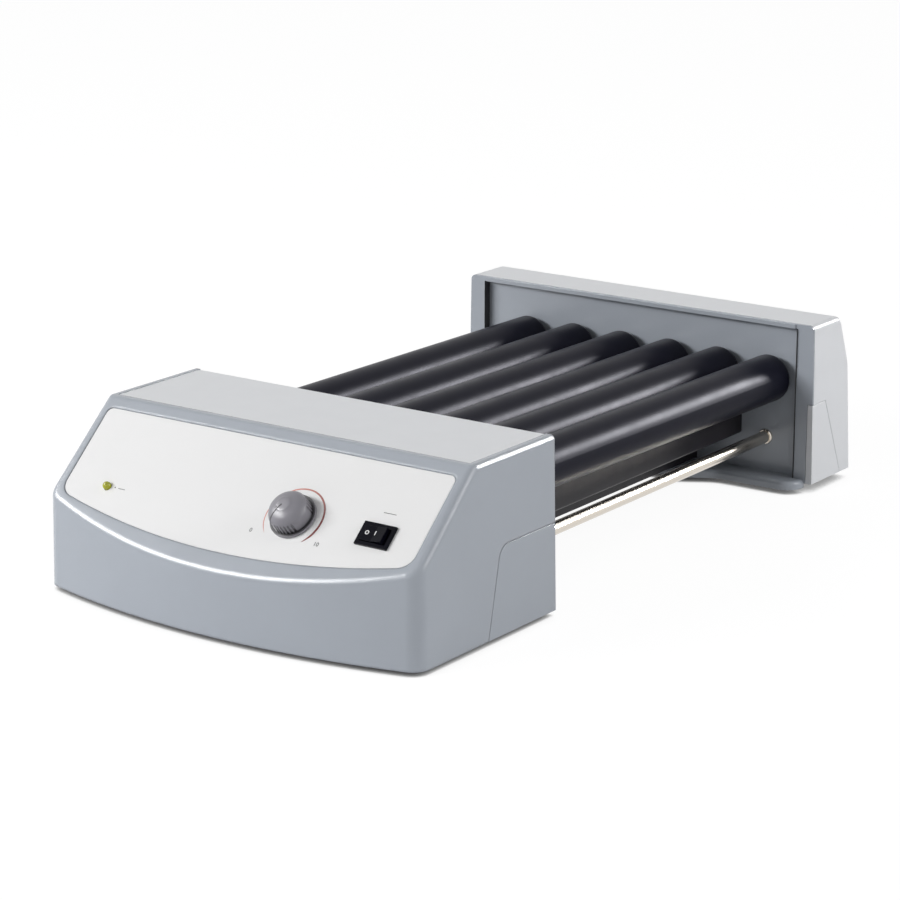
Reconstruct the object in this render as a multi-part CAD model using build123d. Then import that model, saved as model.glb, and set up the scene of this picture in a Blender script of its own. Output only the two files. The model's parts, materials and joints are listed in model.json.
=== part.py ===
from build123d import *
import math
import os

# Roller mixer: six tilted rollers between a drive housing (front) and a
# bearing housing (rear).  X is across, Y runs from the front to the rear,
# Z is up.  The origin is the middle of the footprint, on the table.

# Driving dimensions, millimetres
front_width = 269.0
front_depth = 150.5
front_height = 103.5
front_side_depth = 131.5
front_top_depth = 74.7
slope_rise = 0.911
corner_radius = 10.5
edge_radius = 4.5
rim_radius = 3.0
draft_angle = 1.1
rear_width = 271.0
rear_depth = 53.0
rear_height = 105.0
rear_draft = 1.0
rear_top_depth = 37.1
rear_lean = 4.2
rear_bend = 72.5
span = 297.0
foot_height = 3.0
rear_lift = 6.5
wall = 2.6

gear_module = 1.25
roller_teeth = 18
idler_teeth = 12
pinion_teeth = 12
gear_face = 8.0
roller_count = 6
roller_radius = 15.5
roller_axis_z = 71.0
roller_throw = 9.0
roller_throw_angle = 15.0
shaft_radius = 4.0

rod_radius = 4.0
rod_x = 98.2
rod_z = 32.0

knob_radius = 14.0
knob_height = 14.0
knob_x = 38.3
knob_s = 49.0
switch_inset = 38.9
switch_s = 49.7
switch_length = 21.5
switch_width = 14.8
lamp_inset = 39.4
lamp_s = 55.0
lamp_radius = 2.5

# Named clearances and shared small sizes
seam = 0.3
slide_gap = 0.05
end_gap = 1.2
plate = 3.0
recess_depth = 5.0
label_thickness = 0.5
label_recess = 0.8
label_margin = 9.0
pocket_gap = 0.4
wing_height = 52.0
wing_length = 54.0
wing_slant = 14.0
rear_wing_height = 52.5
rear_wing_top = 16.8
rear_wing_foot = 39.8
wing_grip = 4.5
pilot_radius = 1.25
pilot_depth = 14.0
screw_radius = 1.2
screw_hole = 1.7
head_radius = 2.8
head_pocket = 3.0
head_height = 1.2
post_radius = 4.0
post_overlap = 0.4

# Derived positions
total = front_depth + span + rear_depth
y_front = -total / 2
y_a = y_front + front_depth
y_b = y_a + span
y_c = y_b + rear_depth
z_fb = foot_height
z_ft = z_fb + front_height
z_rb = rear_lift
z_rt = z_rb + rear_height
half_f = front_width / 2
half_r = rear_width / 2
switch_x = half_f - switch_inset
lamp_x = lamp_inset - half_f
pitch = gear_module * (roller_teeth + idler_teeth)
roller_x = [(i - (roller_count - 1) / 2) * pitch for i in range(roller_count)]
idler_x = [(roller_x[i] + roller_x[i + 1]) / 2 for i in range(roller_count - 1)]
floor_thickness = 2.5
front_floor_z = z_fb + 0.5
front_floor_top = front_floor_z + floor_thickness
rear_floor_top = z_rb + floor_thickness
slope_angle = math.degrees(math.atan(slope_rise))
slope_y = y_a - front_top_depth - 6.9
slope_z = z_ft - 2.8
slope_plane = Plane(
    origin=(0, slope_y, slope_z),
    x_dir=(1, 0, 0),
    z_dir=(0, -math.sin(math.radians(slope_angle)), math.cos(math.radians(slope_angle))),
)


def block(x0, x1, y0, y1, z0, z1):
    """Axis-aligned box given by its limits."""
    shape = Box(x1 - x0, y1 - y0, z1 - z0)
    return Pos((x0 + x1) / 2, (y0 + y1) / 2, (z0 + z1) / 2) * shape


def rod_y(x, z, radius, y0, y1):
    """Cylinder lying along Y."""
    return Pos(x, (y0 + y1) / 2, z) * Rot(90, 0, 0) * Cylinder(radius, y1 - y0)


def rod_up(x, y, radius, z0, z1):
    """Cylinder standing along Z."""
    return Pos(x, y, (z0 + z1) / 2) * Cylinder(radius, z1 - z0)


def join(shapes):
    """Fuse a list of shapes into one."""
    result = shapes[0]
    for shape in shapes[1:]:
        result = result + shape
    return result


def save(name, shape):
    """Write one node as a STEP file."""
    solids = shape.solids()
    if len(solids) == 1:
        out = solids[0]
    else:
        out = Compound(children=list(solids))
    out.label = name
    export_step(out, "parts/" + name + ".step")
    print(name, len(solids), round(out.volume, 1))


def on_slope(x, s, lift=0.0):
    """Frame on the sloped panel: s runs down the slope, lift stands off it."""
    return slope_plane * Pos(x, -s, lift)


# Front housing

def front_body(inset, top_drop, y_rear, z_low, rounded):
    """Drafted, bowed body with the sloped control panel."""
    half = half_f - inset
    side_y = y_a - front_side_depth + inset
    bow_y = y_a - front_depth + inset
    back_y = y_a + 20
    radius = corner_radius - inset
    outline = make_face(
        Polyline((half, side_y), (half, back_y), (-half, back_y), (-half, side_y))
        + ThreePointArc((-half, side_y), (0, bow_y), (half, side_y))
    )
    corners = outline.vertices().sort_by(Axis.Y)[:2]
    outline = fillet(corners, radius)
    plan = Pos(0, 0, z_fb) * extrude(outline, z_ft + 5 - z_fb, taper=draft_angle)
    if z_low < z_fb:
        plan = plan + Pos(0, 0, z_low) * extrude(outline, z_fb - z_low)
    drop = inset / math.cos(math.radians(slope_angle))
    top = z_ft - top_drop
    low = z_low

    def slope_at(z):
        return slope_y + (z - (slope_z - drop)) / slope_rise

    profile = make_face(
        Polyline(
            (0, y_rear, low),
            (0, y_rear, top),
            (0, slope_at(top), top),
            (0, slope_at(low), low),
            (0, y_rear, low),
        )
    )
    prism = extrude(profile, half_f + 30, dir=(1, 0, 0), both=True)
    body = (plan & prism).solids()[0]
    if rounded:
        slanted = [
            f
            for f in body.faces()
            if abs(f.normal_at().Z - math.cos(math.radians(slope_angle))) < 0.01
            and f.normal_at().Y < -0.3
            and abs(f.normal_at().X) < 0.01
        ]
        slanted.sort(key=lambda f: f.area)
        body = fillet(slanted[-1].edges(), edge_radius)
        body = body.solids()[0]
        rims = [
            e
            for e in body.edges()
            if abs(e.center().Z - z_ft) < 0.05
            and abs(e.center().X) > half_f - 12
            and e.length > front_top_depth / 2
        ]
        body = fillet(rims, rim_radius)
        body = body.solids()[0]
    return body


def front_wing_region(gap):
    """Side wings of the base: rise to mid height behind the panel."""
    top = z_fb + wing_height + gap
    front = y_a - wing_length - gap
    face = make_face(
        Polyline(
            (0, y_a + 1, z_fb - 5),
            (0, y_a + 1, top),
            (0, front, top),
            (0, front - wing_slant, z_fb - 5),
            (0, y_a + 1, z_fb - 5),
        )
    )
    corner = [v for v in face.vertices() if abs(v.Z - top) < 0.01 and v.Y < y_a - 10]
    face = fillet(corner, 9.0)
    side = extrude(face, 12.0, dir=(1, 0, 0))
    right = Pos(half_f - 8.0, 0, 0) * side
    left = Pos(-half_f - 4.0, 0, 0) * side
    return right + left


def label_face(grow):
    """Outline of the control label in slope coordinates."""
    half = half_f - label_margin + grow
    top = -4.0 + grow
    low = -63.5 - grow
    bow = -79.9 - grow
    face = make_face(
        Polyline((half, low), (half, top), (-half, top), (-half, low))
        + ThreePointArc((-half, low), (0, bow), (half, low))
    )
    tops = face.vertices().sort_by(Axis.Y)[-2:]
    face = fillet(tops, 4.0)
    lows = face.vertices().sort_by(Axis.Y)[:2]
    face = fillet(lows, 10.0)
    return face


top_drop = 4.0
cover_thickness = 2.0
cover_x = half_f - 7.5
front_outer = front_body(0, 0, y_a, z_fb, True)
front_inner = front_body(wall, top_drop, y_a + 10, z_fb - 10, False)
front_fit = front_body(wall + seam, top_drop + seam, y_a, z_fb - 10, False)
front_skin = front_outer - front_inner
wing_cut = front_wing_region(seam)
wing_keep = front_wing_region(0.0)
cover_y0 = y_a - front_top_depth
cover_pocket = block(-cover_x, cover_x, cover_y0, y_a + 1, z_ft - cover_thickness - 0.3, z_ft + 5)
cover_open = block(-cover_x + 7, cover_x - 7, cover_y0 + 7, y_a - 8, z_ft - 10, z_ft + 5)

# screw posts hang inside the shell and meet the base
post_spots = []
for sx in (-1, 1):
    post_spots.append((sx * (half_f - 21.5), y_a - front_depth + 46.5))
    post_spots.append((sx * (half_f - 11.5), y_a - 42.0))
posts = join([rod_up(x, y, post_radius, front_floor_top, z_ft) for x, y in post_spots])
posts = posts & front_body(wall - post_overlap, top_drop - post_overlap, y_a, z_fb - 10, False)

switch_hole_l = switch_length - 2.4
switch_hole_w = switch_width - 2.4
shaft_hole = 4.0
panel_cuts = (
    on_slope(knob_x, knob_s) * Cylinder(shaft_hole, 20)
    + on_slope(switch_x, switch_s) * Box(switch_hole_l, switch_hole_w, 20)
    + on_slope(lamp_x, lamp_s) * Cylinder(lamp_radius + 0.15, 20)
)
label_pocket = slope_plane * Pos(0, 0, -label_recess) * extrude(label_face(pocket_gap), 10)

front_shell = front_skin - wing_cut - cover_pocket - cover_open - label_pocket
front_shell = front_shell + (posts - wing_cut)
front_shell = front_shell - panel_cuts
for x, y in post_spots:
    front_shell = front_shell - rod_up(x, y, pilot_radius, front_floor_top - 1, front_floor_top + pilot_depth)

# light top plate, slightly below the side rims
front_top_cover = block(
    -cover_x + seam,
    cover_x - seam,
    cover_y0 + seam,
    y_a,
    z_ft - cover_thickness - 0.3,
    z_ft - 0.3,
)
front_top_cover = fillet(
    front_top_cover.edges().filter_by(Axis.X).group_by(Axis.Z)[-1].sort_by(Axis.Y)[-1:], 1.2
)
locator_x = cover_x - 7 - seam - 1.5
cover_tabs = [
    block(sx * locator_x - 1.2, sx * locator_x + 1.2, y - 8, y + 8, z_ft - 6.5, z_ft - cover_thickness)
    for sx in (-1, 1)
    for y in (y_a - 24, y_a - 56)
]
front_top_cover = join([front_top_cover] + cover_tabs)

control_label = slope_plane * Pos(0, 0, -label_recess) * extrude(label_face(0.0), label_thickness)
control_label = control_label - panel_cuts

# base pan of the front housing with its side wings
front_floor = front_fit & block(-half_f, half_f, y_front, y_a, front_floor_z, front_floor_top)
wing_skin = (front_outer - front_inner) & wing_keep
wing_web = wing_keep & front_body(wall - 0.2, 0, y_a, z_fb - 10, False)
wing_web = wing_web & block(-half_f, half_f, y_a - 80, y_a, front_floor_z, front_floor_top)
front_base = front_floor + wing_skin + wing_web
inlet_y = y_a - 27.0
inlet_z = z_fb + 24.0
spine_half = 46.0
spine_fix_x = 30.0
spine_pad = 6.0
front_pad_y = (y_a - 19.0, y_a - 7.0)
rear_pad_y = (y_b + 15.0, y_b + 27.0)
spine_z0 = rear_floor_top + 0.2
spine_z1 = spine_z0 + 10.0
board_x1 = half_f - 34.5
board_x0 = board_x1 - 86.0
board_y0 = y_a - 98.0
board_y1 = y_a - 44.0
board_z = front_floor_top + 6.0
board_hole = 5.0
pads = []
for sx in (-1, 1):
    pad_x = sx * spine_fix_x
    pads.append(block(pad_x - spine_pad, pad_x + spine_pad, *front_pad_y, front_floor_top - 0.5, spine_z0))
for x in (board_x0 + board_hole, board_x1 - board_hole):
    for y in (board_y0 + board_hole, board_y1 - board_hole):
        pads.append(rod_up(x, y, 3.5, front_floor_top - 0.5, board_z))
front_base = join([front_base] + pads)
for x, y in post_spots:
    front_base = front_base - rod_up(x, y, screw_hole, z_fb - 1, front_floor_top + 1)
    front_base = front_base - rod_up(x, y, head_pocket, z_fb - 1, front_floor_z + head_height)
inlet_hole = Pos(-half_f, inlet_y, inlet_z) * Rot(0, 90, 0) * Cylinder(6.0, 20)
front_base = front_base - inlet_hole

# Rear housing

def rear_body(inset, y_start, z_low, rounded):
    """Prism with the rounded, leaning back and slightly drafted ends."""
    top = z_rt - inset
    points = [
        (0, y_start, z_low),
        (0, y_start, top),
        (0, y_b + rear_top_depth - inset * 0.7, top),
        (0, y_c - rear_lean - inset, z_rb + rear_bend),
        (0, y_c - inset, z_rb),
    ]
    if z_low < z_rb:
        points.append((0, y_c - inset, z_low))
    points.append(points[0])
    face = make_face(Polyline(*points))
    crown = [v for v in face.vertices() if v.Y > y_b + 10 and v.Z > top - 1]
    face = fillet(crown, 7.0)
    bend = [v for v in face.vertices() if abs(v.Z - z_rb - rear_bend) < 0.5 and v.Y > y_b + 10]
    face = fillet(bend, 30.0)
    body = extrude(face, half_r + 5, dir=(1, 0, 0), both=True).solids()[0]
    ceiling = z_rt + 5
    half_low = half_r - inset
    half_top = half_low - math.tan(math.radians(rear_draft)) * (ceiling - z_rb)
    ends = make_face(
        Polyline(
            (half_low, y_start - 1, z_low - 1),
            (half_low, y_start - 1, z_rb),
            (half_top, y_start - 1, ceiling),
            (-half_top, y_start - 1, ceiling),
            (-half_low, y_start - 1, z_rb),
            (-half_low, y_start - 1, z_low - 1),
            (half_low, y_start - 1, z_low - 1),
        )
    )
    body = (body & extrude(ends, y_c - y_start + 2, dir=(0, 1, 0))).solids()[0]
    if rounded:
        ends = [
            e
            for e in body.edges()
            if abs(e.center().X) > half_r - 4
            and e.center().Y > y_b + 1
            and e.center().Z > z_rb + 1
        ]
        body = fillet(ends, 3.5).solids()[0]
    return body


def rear_wing_region(gap):
    """Side wings of the rear base with a slanted rear edge."""
    top = z_rb + rear_wing_height + gap
    face = make_face(
        Polyline(
            (0, y_b - 1, z_rb - 5),
            (0, y_b - 1, top),
            (0, y_b + rear_wing_top + gap, top),
            (0, y_b + rear_wing_foot + gap, z_rb - 5),
            (0, y_b - 1, z_rb - 5),
        )
    )
    side = extrude(face, 8.0, dir=(1, 0, 0))
    inner = half_r - wing_grip - gap
    return Pos(inner, 0, 0) * side + Pos(-inner - 8.0, 0, 0) * side


rim = 1.2
rear_outer = rear_body(0, y_b, z_rb, True)
rear_inner = rear_body(wall, y_b - 10, z_rb - 10, False)
rear_fit = rear_body(wall + seam, y_b, z_rb - 10, False)
rear_cut = rear_wing_region(seam)
rear_keep = rear_wing_region(0.0)
rear_cover = rear_outer - rear_inner - rear_cut
rear_cover = rear_cover - block(-half_r - 1, half_r + 1, y_b - 1, y_b + rim + seam, 0, z_rt + 5)
rear_post_y = y_b + 34.0
rear_posts = [(-113.0, rear_post_y), (-40.0, rear_post_y), (40.0, rear_post_y), (113.0, rear_post_y)]
post_set = join([rod_up(x, y, post_radius, rear_floor_top, z_rt) for x, y in rear_posts])
post_set = post_set & rear_body(wall - post_overlap, y_b, z_rb - 10, False)
rear_cover = rear_cover + post_set
for x, y in rear_posts:
    rear_cover = rear_cover - rod_up(x, y, pilot_radius, rear_floor_top - 1, rear_floor_top + pilot_depth)

recess_half = half_r - 13.3
recess_top = z_rt - 3.2
wall_y0 = y_b + recess_depth
wall_y1 = wall_y0 + plate
bezel_rim = rear_outer & block(-half_r, half_r, y_b, y_b + rim, z_rb, z_rt)
bezel_box = rear_fit & block(-recess_half - 2.5, recess_half + 2.5, y_b, wall_y1, z_rb, z_rt)
rear_bezel = bezel_rim + bezel_box
rear_bezel = rear_bezel - block(
    -recess_half, recess_half, y_b - 1, wall_y0, rear_floor_top, recess_top
)
rear_bezel = rear_bezel - rear_cut
visor = block(-recess_half + 1.5, recess_half - 1.5, y_b - 1.0, y_b + 0.5, recess_top, z_rt - 0.5)

# forward lip under the frame, bulging towards the rollers
lip_low = z_fb + 0.4
lip_half = half_r - 6.0
lip_side = 12.5
lip_mid = 13.5
lip_nose = 27.0
lip_right = [
    (lip_half, y_b + rim),
    (lip_half, y_b - lip_side),
    (lip_half - 58.0, y_b - lip_mid),
    (spine_half + 4.0, y_b - lip_nose),
]
lip_left = [(-x, y) for x, y in reversed(lip_right)]
lip_face = make_face(Polyline(*(lip_right + lip_left + lip_right[:1])))
for distance, radius in ((lip_side, 12.0), (lip_mid, 16.0), (lip_nose, 6.0)):
    corners = [v for v in lip_face.vertices() if abs(v.Y - y_b + distance) < 0.1]
    lip_face = fillet(corners, radius)
lip = Pos(0, 0, lip_low) * extrude(lip_face, rear_floor_top - lip_low)
lip_top = [
    e
    for e in lip.edges()
    if abs(e.center().Z - rear_floor_top) < 0.01 and e.center().Y < y_b + rim - 0.1
]
lip = fillet(lip_top, 2.5)
rear_bezel = rear_bezel + visor + lip

# rear base: floor and side wings, closed at the front
rear_floor = rear_fit & block(-half_r, half_r, wall_y1 + seam, y_c, z_rb, rear_floor_top)
rear_wings = (rear_outer - rear_inner) & rear_keep
rear_flange = rear_outer & rear_keep & block(-half_r - 1, half_r + 1, y_b, y_b + rim, z_rb, z_rt)
rear_web = rear_keep & block(-half_r + wall - 0.2, half_r - wall + 0.2, y_b, y_c, z_rb, rear_floor_top)
rear_base = rear_floor + rear_wings + rear_flange + rear_web
for x, y in rear_posts:
    rear_base = rear_base - rod_up(x, y, screw_hole, z_rb - 1, rear_floor_top + 1)
    rear_base = rear_base - rod_up(x, y, head_pocket, z_rb - 1, z_rb + head_height)

# Plates, bearings and the gear train
bush_radius = 6.0
bush_flange = 7.5
flange_thickness = 1.5
plate_gap = 3.0
f_plate_y1 = y_a - plate
f_plate_y0 = f_plate_y1 - plate
gear_y1 = f_plate_y0 - plate_gap
gear_y0 = gear_y1 - gear_face
g_plate_y1 = gear_y0 - plate_gap
g_plate_y0 = g_plate_y1 - plate
plate_half = roller_x[-1] + 17.0
plate_corner = 5.0
plate_z0 = spine_z1 + 3.0
plate_z1 = roller_axis_z + 20.0
r_plate_y0 = wall_y1
r_plate_y1 = r_plate_y0 + plate
motor_x = roller_x[2]
motor_z = roller_axis_z - gear_module * (roller_teeth + pinion_teeth) / 2
tray_z0 = z_fb + 28.5
tray_height = 18.0
tray_end_height = 13.5
tray_thickness = 1.5
tray_half = 80.0
tab_half = 18.0
tab_x = 50.0
tab_depth = 2.0

front_back_panel = front_fit & block(-half_f, half_f, f_plate_y1, y_a, front_floor_top, z_ft)
spine_slot = block(
    -spine_half - seam, spine_half + seam, y_a - 30, y_a + 1, 0, spine_z1 + seam
)
front_back_panel = front_back_panel - spine_slot
spine_slot_r = block(
    -spine_half - seam, spine_half + seam, wall_y0 - 1, r_plate_y1 + 1, rear_floor_top, spine_z1 + seam
)
rear_bezel = rear_bezel - spine_slot_r
for x in roller_x:
    front_back_panel = front_back_panel - rod_y(x, roller_axis_z, shaft_radius + 1.0, f_plate_y1 - 1, y_a + 1)
    rear_bezel = rear_bezel - rod_y(x, roller_axis_z, shaft_radius + 1.0, wall_y0 - 1, wall_y1 + 1)
for sx in (-1, 1):
    front_back_panel = front_back_panel - rod_y(
        sx * rod_x, rod_z, rod_radius + 0.1, f_plate_y1 - 1, y_a + 1
    )
    rear_bezel = rear_bezel - rod_y(sx * rod_x, rod_z, rod_radius + 0.1, wall_y0 - 1, wall_y1 + 1)
    slot_x0 = sx * tab_x - tab_half - 0.2
    slot_x1 = sx * tab_x + tab_half + 0.2
    slot_z0 = tray_z0 - 0.1
    slot_z1 = tray_z0 + tray_thickness + 0.2
    front_back_panel = front_back_panel - block(slot_x0, slot_x1, y_a - 2.3, y_a + 1, slot_z0, slot_z1)
    rear_bezel = rear_bezel - block(slot_x0, slot_x1, wall_y0 - 1, wall_y0 + 2.3, slot_z0, slot_z1)

front_bearing_plate = block(-plate_half, plate_half, f_plate_y0, f_plate_y1, plate_z0, plate_z1)
front_bearing_plate = fillet(front_bearing_plate.edges().filter_by(Axis.Y), plate_corner)
rear_bearing_plate = block(-plate_half, plate_half, r_plate_y0, r_plate_y1, plate_z0, plate_z1)
rear_bearing_plate = fillet(rear_bearing_plate.edges().filter_by(Axis.Y), plate_corner)
gear_plate = block(-plate_half, plate_half, g_plate_y0, g_plate_y1, plate_z0 + 4, plate_z1)
gear_plate = fillet(gear_plate.edges().filter_by(Axis.Y), plate_corner)
front_bearings = []
rear_bearings = []
for x in roller_x:
    hole = rod_y(x, roller_axis_z, bush_radius, f_plate_y0 - 1, f_plate_y1 + 1)
    front_bearing_plate = front_bearing_plate - hole
    hole = rod_y(x, roller_axis_z, bush_radius, r_plate_y0 - 1, r_plate_y1 + 1)
    rear_bearing_plate = rear_bearing_plate - hole
    gear_plate = gear_plate - rod_y(
        x, roller_axis_z, shaft_radius + slide_gap, g_plate_y0 - 1, g_plate_y1 + 1
    )
    bore = rod_y(x, roller_axis_z, shaft_radius + slide_gap, f_plate_y0 - 5, f_plate_y1 + 5)
    ring = rod_y(x, roller_axis_z, bush_radius - 0.02, f_plate_y0, f_plate_y1)
    flange = rod_y(x, roller_axis_z, bush_flange, f_plate_y0 - flange_thickness, f_plate_y0)
    front_bearings.append((ring + flange) - bore)
    bore = rod_y(x, roller_axis_z, shaft_radius + slide_gap, r_plate_y0 - 5, r_plate_y1 + 5)
    ring = rod_y(x, roller_axis_z, bush_radius - 0.02, r_plate_y0, r_plate_y1)
    flange = rod_y(x, roller_axis_z, bush_flange, r_plate_y1, r_plate_y1 + flange_thickness)
    rear_bearings.append((ring + flange) - bore)

standoff_spots = [
    (-plate_half + 6, roller_axis_z - 21),
    (plate_half - 6, roller_axis_z - 21),
    (idler_x[0], plate_z1 - 6),
    (idler_x[-1], plate_z1 - 6),
]
standoffs = []
for x, z in standoff_spots:
    standoffs.append(rod_y(x, z, 3.5, g_plate_y1, f_plate_y0))
pin_radius = 1.98
pins = []
for x in idler_x:
    pin_hole = rod_y(x, roller_axis_z, 2.0, g_plate_y0 - 1, g_plate_y1 + 1)
    gear_plate = gear_plate - pin_hole
    front_bearing_plate = front_bearing_plate - rod_y(
        x, roller_axis_z, 2.0, f_plate_y0 - 1, f_plate_y1 + 1
    )
    pins.append(rod_y(x, roller_axis_z, pin_radius, g_plate_y0, f_plate_y1 - 0.2))
for sx in (-1, 1):
    front_bearing_plate = front_bearing_plate - rod_y(
        sx * rod_x, rod_z, rod_radius + 0.1, f_plate_y0 - 1, f_plate_y1 + 1
    )
    rear_bearing_plate = rear_bearing_plate - rod_y(
        sx * rod_x, rod_z, rod_radius + 0.1, r_plate_y0 - 1, r_plate_y1 + 1
    )


def gear(teeth, bore, hub_radius, hub_length, phase):
    """Stub-tooth spur gear, axis on Z, from z=0 up, hub above the face."""
    m = gear_module
    r_pitch = m * teeth / 2
    r_tip = r_pitch + 0.8 * m
    r_root = r_pitch - 1.05 * m
    step = 2 * math.pi / teeth
    at_root = 0.5 * step * 0.72
    at_pitch = 0.5 * step * 0.48
    at_tip = 0.5 * step * 0.23
    pts = []
    for k in range(teeth):
        a = k * step + math.radians(phase)
        for r, half in ((r_root, -at_root), (r_pitch, -at_pitch), (r_tip, -at_tip)):
            pts.append((r * math.cos(a + half), r * math.sin(a + half)))
        for r, half in ((r_tip, at_tip), (r_pitch, at_pitch), (r_root, at_root)):
            pts.append((r * math.cos(a + half), r * math.sin(a + half)))
    pts.append(pts[0])
    body = extrude(make_face(Polyline(*pts)), gear_face)
    if hub_length > 0:
        body = body + Pos(0, 0, gear_face + hub_length / 2) * Cylinder(hub_radius, hub_length)
    if bore > 0:
        body = body - Cylinder(bore, 60)
    return body


def place_gear(shape, x, z, y):
    """Turn a gear's Z axis to +Y; its X axis stays along X."""
    return Pos(x, y, z) * Rot(-90, 0, 0) * shape


half_step = 180.0 / idler_teeth
idler_hub = 3.6
idler_hub_length = 2.6
gears = []
for x in roller_x:
    shape = gear(roller_teeth, shaft_radius + 0.02, 7.0, 1.0, 0.0)
    gears.append(place_gear(shape, x, roller_axis_z, gear_y0))
idlers = []
for x in idler_x:
    shape = gear(idler_teeth, pin_radius + slide_gap, idler_hub, idler_hub_length, half_step)
    hub = Pos(0, 0, -idler_hub_length / 2) * Cylinder(idler_hub, idler_hub_length)
    shape = shape + (hub - Cylinder(pin_radius + slide_gap, 60))
    idlers.append(place_gear(shape, x, roller_axis_z, gear_y0))

# the tooth below the roller gear's axis decides how the pinion is turned
pinion_phase = 0.0 if roller_teeth % 4 != 0 else 180.0 / pinion_teeth
pinion = place_gear(gear(pinion_teeth, 0, 0, 0, pinion_phase), motor_x, motor_z, gear_y0)
motor_shaft_radius = 3.0
motor_shaft = rod_y(motor_x, motor_z, motor_shaft_radius, g_plate_y0 - 8, gear_y1 + 0.5)
motor_pinion = pinion + motor_shaft

motor_y1 = g_plate_y0
case_radius = 18.0
case_y0 = motor_y1 - 22.0
can_y0 = case_y0 - 28.0
gear_case = rod_y(motor_x, motor_z, case_radius, case_y0, motor_y1)
can = rod_y(motor_x, motor_z, case_radius - 1.5, can_y0, case_y0)
tail = rod_y(motor_x, motor_z, 5.0, can_y0 - 3, can_y0)
boss = rod_y(motor_x, motor_z, 5.5, motor_y1, motor_y1 + 2.5)
gear_motor = gear_case + can + tail + boss
gear_motor = gear_motor - rod_y(
    motor_x, motor_z, motor_shaft_radius + slide_gap, motor_y1 - 8.2, motor_y1 + 5
)
for sx in (-1, 1):
    x = motor_x + sx * 5
    gear_motor = gear_motor + block(x - 1.5, x + 1.5, can_y0 - 6, can_y0, motor_z + 8, motor_z + 8.8)
gear_plate = gear_plate - rod_y(motor_x, motor_z, 5.6, g_plate_y0 - 1, g_plate_y1 + 1)
motor_screws = []
for deg in (210, 330, 150, 30):
    a = math.radians(deg)
    x = motor_x + 13.5 * math.cos(a)
    z = motor_z + 13.5 * math.sin(a)
    if z > motor_z:
        z = motor_z + 6.0
        x = motor_x + math.copysign(12.5, x - motor_x)
    gear_plate = gear_plate - rod_y(x, z, 1.6, g_plate_y0 - 1, g_plate_y1 + 1)
    gear_motor = gear_motor - rod_y(x, z, 1.5, motor_y1 - 6.2, motor_y1 + 0.1)
    motor_screws.append(
        rod_y(x, z, 1.45, motor_y1 - 6, g_plate_y1) + rod_y(x, z, 2.5, g_plate_y1, g_plate_y1 + 1.6)
    )

# Rods, tray and spine
rods = []
collars = []
nuts = []
nut_length = 4.0
rod_y0 = f_plate_y0 - nut_length - 1.0
rod_y1 = r_plate_y1 + nut_length + 1.0
for sx in (-1, 1):
    x = sx * rod_x
    rods.append(rod_y(x, rod_z, rod_radius, rod_y0, rod_y1))
    for y0, y1 in ((y_a, y_a + 2.0), (wall_y0 - 2.0, wall_y0)):
        ring = rod_y(x, rod_z, rod_radius + 1.0, y0, y1)
        edge = ring.edges().filter_by(GeomType.CIRCLE).sort_by(Axis.Y)
        edge = edge[-1:] if y0 == y_a else edge[:1]
        ring = chamfer(edge, 0.5)
        collars.append(ring - rod_y(x, rod_z, rod_radius + 0.02, y0 - 1, y1 + 1))
    for y0 in (f_plate_y0 - nut_length, r_plate_y1):
        hexagon = extrude(RegularPolygon(7.5, 6), nut_length)
        body = Pos(x, y0, rod_z) * Rot(-90, 0, 0) * hexagon
        nuts.append(body - rod_y(x, rod_z, rod_radius + 0.02, y0 - 1, y0 + nut_length + 1))

tray_y0 = y_a + 0.6
tray_y1 = wall_y0 - 0.6
tray_top = tray_z0 + tray_height
tray_end_top = tray_z0 + tray_end_height
sheet = tray_thickness
drip_tray = block(-tray_half, tray_half, tray_y0, tray_y1, tray_z0, tray_top)
drip_tray = fillet(drip_tray.edges().filter_by(Axis.Y).group_by(Axis.Z)[0], 2.0)
drip_tray = drip_tray - block(
    -tray_half + sheet, tray_half - sheet, tray_y0 + sheet, tray_y1 - sheet, tray_z0 + sheet, tray_top + 1
)
for y0, y1 in ((tray_y0 - 1, tray_y0 + 4), (tray_y1 - 4, tray_y1 + 1)):
    drip_tray = drip_tray - block(-tray_half - 1, tray_half + 1, y0, y1, tray_end_top, tray_top + 1)
for sx in (-1, 1):
    for y0, y1 in ((y_a - tab_depth, tray_y0 + 1), (tray_y1 - 1, wall_y0 + tab_depth)):
        drip_tray = drip_tray + block(
            sx * tab_x - tab_half, sx * tab_x + tab_half, y0, y1, tray_z0, tray_z0 + sheet
        )

spine_y0 = y_a - 22.0
spine_y1 = r_plate_y0 + 20.0
base_spine = block(-spine_half, spine_half, spine_y0, spine_y1, spine_z0, spine_z1)
base_spine = fillet(base_spine.edges().filter_by(Axis.Y).group_by(Axis.Z)[-1], 2.0)
base_spine = base_spine - block(
    -spine_half + 2, spine_half - 2, spine_y0 - 1, spine_y1 + 1, spine_z0 - 1, spine_z1 - 2
)
for sx in (-1, 1):
    pad_x = sx * spine_fix_x
    for y0, y1 in (front_pad_y, rear_pad_y):
        base_spine = base_spine + block(
            pad_x - spine_pad - 1, pad_x + spine_pad + 1, y0, y1, spine_z0, spine_z1 - 1.5
        )
rear_pads = [
    block(x - spine_pad, x + spine_pad, *rear_pad_y, rear_floor_top - 0.5, spine_z0)
    for x in (-spine_fix_x, spine_fix_x)
]
rear_base = join([rear_base] + rear_pads)
spine_screws = []
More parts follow.
